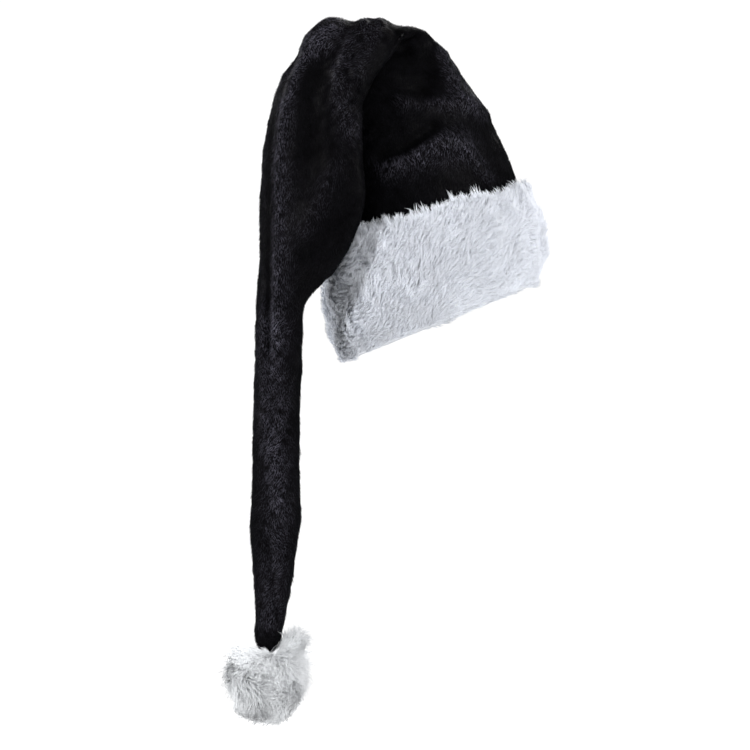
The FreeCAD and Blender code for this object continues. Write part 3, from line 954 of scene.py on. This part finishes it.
def lay_locks(roots, up, nap, rise, length, gather, rng, steps=4):
    """Spines of locks that lay themselves down: the way along a lock is up x sine + nap x cosine of an angle
    that falls from the rise to a small share of it. Sideways, the lock closes in on its tuft, and a small
    random curl bends it."""
    count = len(roots)
    side = np.cross(up, nap)
    drift = (gather * side).sum(axis=1)
    share = np.arange(steps) / (steps - 1)
    middle = (share[1:] + share[:-1]) / 2
    angle = rise[:, None] * (LOCK_RISE - LOCK_FALL * middle[None])
    way = up[:, None] * np.sin(angle)[..., None] + nap[:, None] * np.cos(angle)[..., None]
    runs = np.cumsum(way * (length[:, None, None] / (steps - 1)), axis=1)
    spines = roots[:, None] + np.concatenate([np.zeros((count, 1, 3)), runs], axis=1)
    curl = LOCK_CURL * length * rng.normal(size=count)
    bent = curl[:, None] * np.sin(np.pi * share[None] * 1.3)
    sideways = LOCK_CLOSING * drift[:, None] * share[None] ** LOCK_POWER + bent
    sunk = up[:, None] * LOCK_ROOT * (share == 0)[None, :, None]
    return spines + side[:, None] * sideways[..., None] - sunk


def taper(count, steps, width):
    """Widths along a lock: full at its root, and falling to two thirds or so at its last ring."""
    share = np.arange(steps - 1) / (steps - 1)
    return np.tile(width * (1 - LOCK_TAPER * share**LOCK_POWER), (count, 1))


# ---------------------------------------------------------------- the pompom
# Lobes of the pompom: which way each lies from its middle, how far it stands out in millimetres, and how
# wide it is: at 1 less the cosine of an angle equal to this, it has fallen to little over a third.
POMPOM_LOBES = (
    ((0.52, -0.05, 0.85), 23.0, 0.050),
    ((0.80, -0.10, 0.55), 5.0, 0.08),
    ((-0.97, -0.10, 0.24), 3.0, 0.03),
    ((-0.55, -0.10, 0.82), 11.0, 0.09),
    ((-0.06, 0.05, 1.0), -13.0, 0.05),
    ((-0.95, 0.0, -0.30), -4.0, 0.12),
    ((0.40, -0.20, -0.90), 4.0, 0.10),
    ((-0.50, 0.60, -0.40), 3.0, 0.10),
    ((0.30, 0.85, 0.20), 3.0, 0.10),
)
# Above this height no fur grows close to the tail's tip, which would stand inside it.
TIP_FUR_HEIGHT = -336 * MM
# The core's points round and from pole to pole, and the angle between a pole and its first ring.
POMPOM_AROUND, POMPOM_RINGS = 120, 72
POLE_ANGLE = 0.03
# The way down that the pompom's fur is pulled, and the waves added to it along each axis: seeds, wavelengths
# in metres and height.
POMPOM_HANG = np.array([0.0, 0.0, -0.55])
POMPOM_WANDER = (((62, 63, 64), (0.018, 0.045), 0.7), ((68, 69, 70), (0.007, 0.015), 0.3))
# How many of the pompom's locks are stray, and how much longer those are.
STRAY_SHARE, STRAY_LENGTH = 0.08, 0.45


def pompom_reach(out, radius):
    """How far the pompom's core reaches each way: its radius, with each lobe's height x an exponential of
    the cosine of the angle from the lobe less 1, and small lumps."""
    reach = radius + 1.3 * MM * waves(out, 67, (0.5, 1.1))
    for way, height, width in POMPOM_LOBES:
        cosine = out @ unit(np.array(way))
        reach = reach + height * MM * np.exp((cosine - 1) / width)
    return reach


class HAT_OT_pompom(bpy.types.Operator):
    """Makes the pompom: its lobed core and its soft fur"""

    bl_idname = "hat.pompom"
    bl_label = "Pompom"

    def execute(self, context):
        settings = context.scene.plush_fur
        low, high = (np.array(corner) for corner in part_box("pompom_stuffing"))
        centre = (low + high) / 2 + np.array([2.0, 0.0, 0.0]) * MM
        fur = fur_material("pompom_fur", tuple(settings.pompom_color), 0.93)
        core = self.make_core(centre, settings.pompom_radius, fur)
        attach(core, "pompom")
        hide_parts("pompom_fur")
        self.add_fur(centre, settings, fur)
        return {"FINISHED"}

    def make_core(self, centre, radius, fur):
        """The core, ring by ring from pole to pole, from the top: each point is its way out x its reach."""
        around, rings = POMPOM_AROUND, POMPOM_RINGS
        angles = -2 * np.pi * np.arange(around)[None] / around
        polar = np.linspace(POLE_ANGLE, np.pi - POLE_ANGLE, rings)[:, None]
        flat = np.sin(polar)
        out = np.stack([flat * np.cos(angles), flat * np.sin(angles), np.cos(polar) + 0 * angles], axis=-1)
        grid = centre + out * pompom_reach(out, radius)[..., None]
        count = rings * around
        ring = np.arange(around)
        poles = grid[[0, -1]].mean(axis=1)
        points = np.concatenate([grid.reshape(-1, 3), poles])
        faces = [
            ring_faces(rings, around),
            fan_faces(ring, count, flip=True),
            fan_faces(ring + count - around, count + 1),
        ]
        return make_mesh("pompom_core", points, faces, [fur])

    def add_fur(self, centre, settings, fur):
        """Fur all over the core, spread by equal steps of height and of the golden angle, but not where the
        tail's tip goes in. Each lock rises from the core and lays itself down the ball and along slow waves,
        in tufts."""
        count = settings.pompom_locks
        rng = np.random.default_rng(61)
        number = np.arange(count) + 0.5
        height = 1 - 2 * number / count
        spin = np.pi * (1 + math.sqrt(5)) * number
        flat = np.sqrt(1 - height**2)
        out = np.stack([flat * np.cos(spin), flat * np.sin(spin), height], axis=-1)
        reach = pompom_reach(out, settings.pompom_radius)
        roots = centre + out * (reach * 0.985)[:, None]
        wander = 0
        for seeds, lengths, amount in POMPOM_WANDER:
            wander = wander + amount * np.stack([waves(roots, seed, lengths) for seed in seeds], axis=-1)
        pull = POMPOM_HANG + wander + 0.25 * rng.normal(size=(count, 3))
        nap = unit(pull - out * (pull * out).sum(axis=1)[:, None])
        standing = smoothstep(reach, settings.pompom_radius + 2 * MM, settings.pompom_radius + 10 * MM)
        rise = varied("pompom_rise", roots, rng) + 0.25 * standing
        rise = rise + 0.08 * smoothstep(-height, 0.35, 0.85)
        rise = np.clip(rise, 0.25, 1.4)
        stray = 1 + STRAY_LENGTH * (rng.random(count) < STRAY_SHARE)
        length = settings.pompom_length * rng.uniform(0.65, 1.05, size=count) * stray
        gather = 0.55 * tuft_pull(roots, 6.5 * MM, 66)
        spines = lay_locks(roots, out, nap, rise, length, gather, rng)
        widths = taper(count, spines.shape[1], settings.lock_width)
        tone = varied("pompom_tone", roots, rng)
        tip = np.array(STATIONS["cap"]) * MM
        from_tip = (roots - tip[:3]) / np.array([tip[6], tip[7], 1.0])
        clear = (np.hypot(from_tip[:, 0], from_tip[:, 1]) > 1.0) | (roots[:, 2] < TIP_FUR_HEIGHT)
        for name, part in (("near", clear & (out[:, 1] < 0)), ("far", clear & (out[:, 1] >= 0))):
            name, grown = f"pompom_fur_{name}", (spines[part], widths[part])
            piece = strand_mesh(name, *grown, fur, tone[part], out[part], POMPOM_SOFTNESS)
            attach(piece, "pompom")


# ---------------------------------------------------------------- trim
class HAT_OT_trim(bpy.types.Operator):
    """Finishes the threads, the stuffing and the blank label"""

    bl_idname = "hat.trim"
    bl_label = "Trim"

    def execute(self, context):
        black = knit_material("black_thread", (0.006, 0.006, 0.007), 2400.0, 0.3)
        white = knit_material("white_thread", (0.78, 0.79, 0.80), 2400.0, 0.3)
        stuffing = knit_material("fibre_filling", (0.80, 0.80, 0.78), 260.0, 1.0)
        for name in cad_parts:
            if name in ("cuff_hem_stitches", "pompom_tie"):
                dress(name, white)
            elif name == "tip_binding":
                dress(name, plush_material())
            elif name.endswith(("_seam", "_stitches")):
                dress(name, black)
            elif name == "pompom_stuffing":
                dress(name, stuffing)
        self.make_label()
        return {"FINISHED"}

    def make_label(self):
        """The blank label: a strip of satin that hangs from the facing. It comes away from it with the 0.7th
        power of the way down, and bows across by a half sine."""
        low, high = (np.array(corner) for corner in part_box("care_label"))
        across, down = np.meshgrid(np.linspace(0, 1, 25), np.linspace(0, 1, 41), indexing="ij")
        y = low[1] + (high[1] - low[1]) * across
        z = high[2] + (low[2] - high[2]) * down
        hung = low[0] - 2.4 * MM + (high[0] - low[0] + 1.9 * MM) * down**0.7
        x = hung + 0.8 * MM * np.sin(np.pi * across) * down
        front = np.stack([x, y, z], axis=-1)
        back = front - np.array([0.35 * MM, 0, 0])
        rows, columns = front.shape[:2]
        count = rows * columns
        index = np.arange(count).reshape(rows, columns)
        quads = [index[:-1, :-1], index[:-1, 1:], index[1:, 1:], index[1:, :-1]]
        quads = np.stack(quads, axis=-1).reshape(-1, 4)
        border = np.concatenate([index[0, :-1], index[:-1, -1], index[-1, :0:-1], index[:0:-1, 0]])
        rim = np.stack([border, np.roll(border, -1), np.roll(border, -1) + count, border + count], axis=-1)
        points = np.concatenate([front.reshape(-1, 3), back.reshape(-1, 3)])
        satin = knit_material("label_satin", (0.82, 0.82, 0.80), 1500.0, 0.2)
        label = make_mesh("care_label_cloth", points, [quads[:, ::-1], quads + count, rim], [satin])
        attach(label, "crown")
        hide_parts("care_label")


# ---------------------------------------------------------------- stage
# The lights: place and size in metres, and power in watts. All of them aim at one point.
LIGHTS = (
    ("key_light", (1.9, -2.0, 1.3), 1.0, 70.0),
    ("side_light", (-2.4, -0.5, 1.3), 0.6, 74.0),
    ("back_light", (0.9, 1.8, 1.6), 1.4, 40.0),
)
LIGHT_AIM = np.array([-0.06, 0.0, 0.0])
# Brightness of the world as a light, and to the camera.
WORLD_LIGHT, WORLD_SEEN = 0.22, 1.05
# The camera's sensor in millimetres, the floor's points round, and its rings as shares of its radius.
SENSOR_WIDTH = 36.0
FLOOR_AROUND = 64
FLOOR_RADII = np.array([1.0, 0.5, 0.02])
class HAT_OT_stage(bpy.types.Operator):
    """Sets a pale floor, soft studio light and the camera"""

    bl_idname = "hat.stage"
    bl_label = "Stage"

    def execute(self, context):
        scene, settings = context.scene, context.scene.plush_stage
        scene.view_settings.view_transform = "Standard"
        self.make_floor(settings)
        self.make_world(scene)
        for light in LIGHTS:
            self.make_light(*light)
        centre = np.array(settings.view_center)
        lens = bpy.data.cameras.new("hat_camera")
        lens.sensor_width = SENSOR_WIDTH
        lens.lens = SENSOR_WIDTH * settings.camera_distance / settings.view_width
        lens.clip_start = 0.05
        camera = bpy.data.objects.new("hat_camera", lens)
        camera.location = centre + np.array([0.0, -settings.camera_distance, 0.0])
        camera.rotation_euler = (math.pi / 2, 0.0, 0.0)
        scene.collection.objects.link(camera)
        scene.camera = camera
        return {"FINISHED"}

    def make_floor(self, settings):
        """A pale disc, in rings from its edge to its middle, that glows to the camera."""
        angles = 2 * np.pi * np.arange(FLOOR_AROUND) / FLOOR_AROUND
        radii = settings.floor_radius * FLOOR_RADII
        flat = radii[:, None, None] * np.stack([np.cos(angles), np.sin(angles)], axis=-1)[None]
        points = np.concatenate([flat, np.full((*flat.shape[:2], 1), settings.floor_height)], axis=-1)
        centre = np.array([[0.0, 0.0, settings.floor_height]])
        count = len(radii) * FLOOR_AROUND
        inmost = np.arange(count - FLOOR_AROUND, count)
        faces = [ring_faces(len(radii), FLOOR_AROUND), fan_faces(inmost, count)]
        material, tree, principled = new_material(
            "pale_floor", Roughness=0.9, Specular_IOR_Level=0.1, Emission_Color=(1, 1, 1, 1)
        )
        if tree:
            grain = add_node(tree, "TexNoise", {"Vector": add_place(tree), "Scale": 3.0}).outputs["Fac"]
            shades = {"Factor": grain, "A": (0.90, 0.90, 0.90, 1), "B": (0.93, 0.93, 0.93, 1)}
            tint = add_node(tree, "Mix", shades, data_type="RGBA").outputs["Result"]
            tree.links.new(tint, principled.inputs["Base Color"])
            to_camera = add_node(tree, "LightPath").outputs["Is Camera Ray"]
            glow = add_math(tree, "MULTIPLY", to_camera, settings.floor_glow)
            tree.links.new(glow, principled.inputs["Emission Strength"])
        make_mesh("floor", np.concatenate([points.reshape(-1, 3), centre]), faces, [material])

    def make_world(self, scene):
        """White to the camera, softer as a light."""
        world = bpy.data.worlds.new("studio")
        world.use_nodes = True
        scene.world = world
        tree = world.node_tree
        background = tree.nodes["Background"]
        background.inputs["Color"].default_value = (1, 1, 1, 1)
        to_camera = add_node(tree, "LightPath").outputs["Is Camera Ray"]
        inputs = {"Value": to_camera, "To Min": WORLD_LIGHT, "To Max": WORLD_SEEN}
        strength = add_node(tree, "MapRange", inputs).outputs["Result"]
        tree.links.new(strength, background.inputs["Strength"])

    def make_light(self, name, place, size, power):
        lamp = bpy.data.lights.new(name, "AREA")
        lamp.size, lamp.energy = size, power
        made = bpy.data.objects.new(name, lamp)
        made.location = place
        aim = LIGHT_AIM - np.array(place)
        turn = math.atan2(aim[1], aim[0])
        tilt = math.atan2(-aim[2], math.hypot(aim[0], aim[1]))
        made.rotation_euler = (math.pi / 2 - tilt, 0.0, turn - math.pi / 2)
        bpy.context.scene.collection.objects.link(made)


# ---------------------------------------------------------------- panel and registration
class HAT_PT_panel(bpy.types.Panel):
    """Lists the hat's pieces and their settings"""

    bl_label = "Plush Hat"
    bl_idname = "HAT_PT_panel"
    bl_space_type = "VIEW_3D"
    bl_region_type = "UI"
    bl_category = "Plush Hat"

    def draw(self, context):
        for group in ("plush_cloth", "plush_fur", "plush_stage"):
            settings = getattr(context.scene, group)
            box = self.layout.box()
            for key in settings.bl_rna.properties.keys():
                if key not in ("rna_type", "name"):
                    box.prop(settings, key)
        for operator in OPERATORS:
            self.layout.operator(operator.bl_idname)


SETTINGS = {"plush_cloth": ClothSettings, "plush_fur": FurSettings, "plush_stage": StageSettings}
OPERATORS = (HAT_OT_stage, HAT_OT_cloth, HAT_OT_cuff, HAT_OT_pompom, HAT_OT_trim)


def register():
    for group in (*SETTINGS.values(), *OPERATORS, HAT_PT_panel):
        bpy.utils.register_class(group)
    for name, group in SETTINGS.items():
        setattr(bpy.types.Scene, name, bpy.props.PointerProperty(type=group))


def unregister():
    for name in SETTINGS:
        delattr(bpy.types.Scene, name)
    for group in (HAT_PT_panel, *reversed(OPERATORS), *reversed(list(SETTINGS.values()))):
        bpy.utils.unregister_class(group)


def main():
    register()
    bpy.ops.hat.stage()
    bpy.ops.hat.cloth()
    bpy.ops.hat.cuff()
    bpy.ops.hat.pompom()
    bpy.ops.hat.trim()


if __name__ == "__main__":
    main()
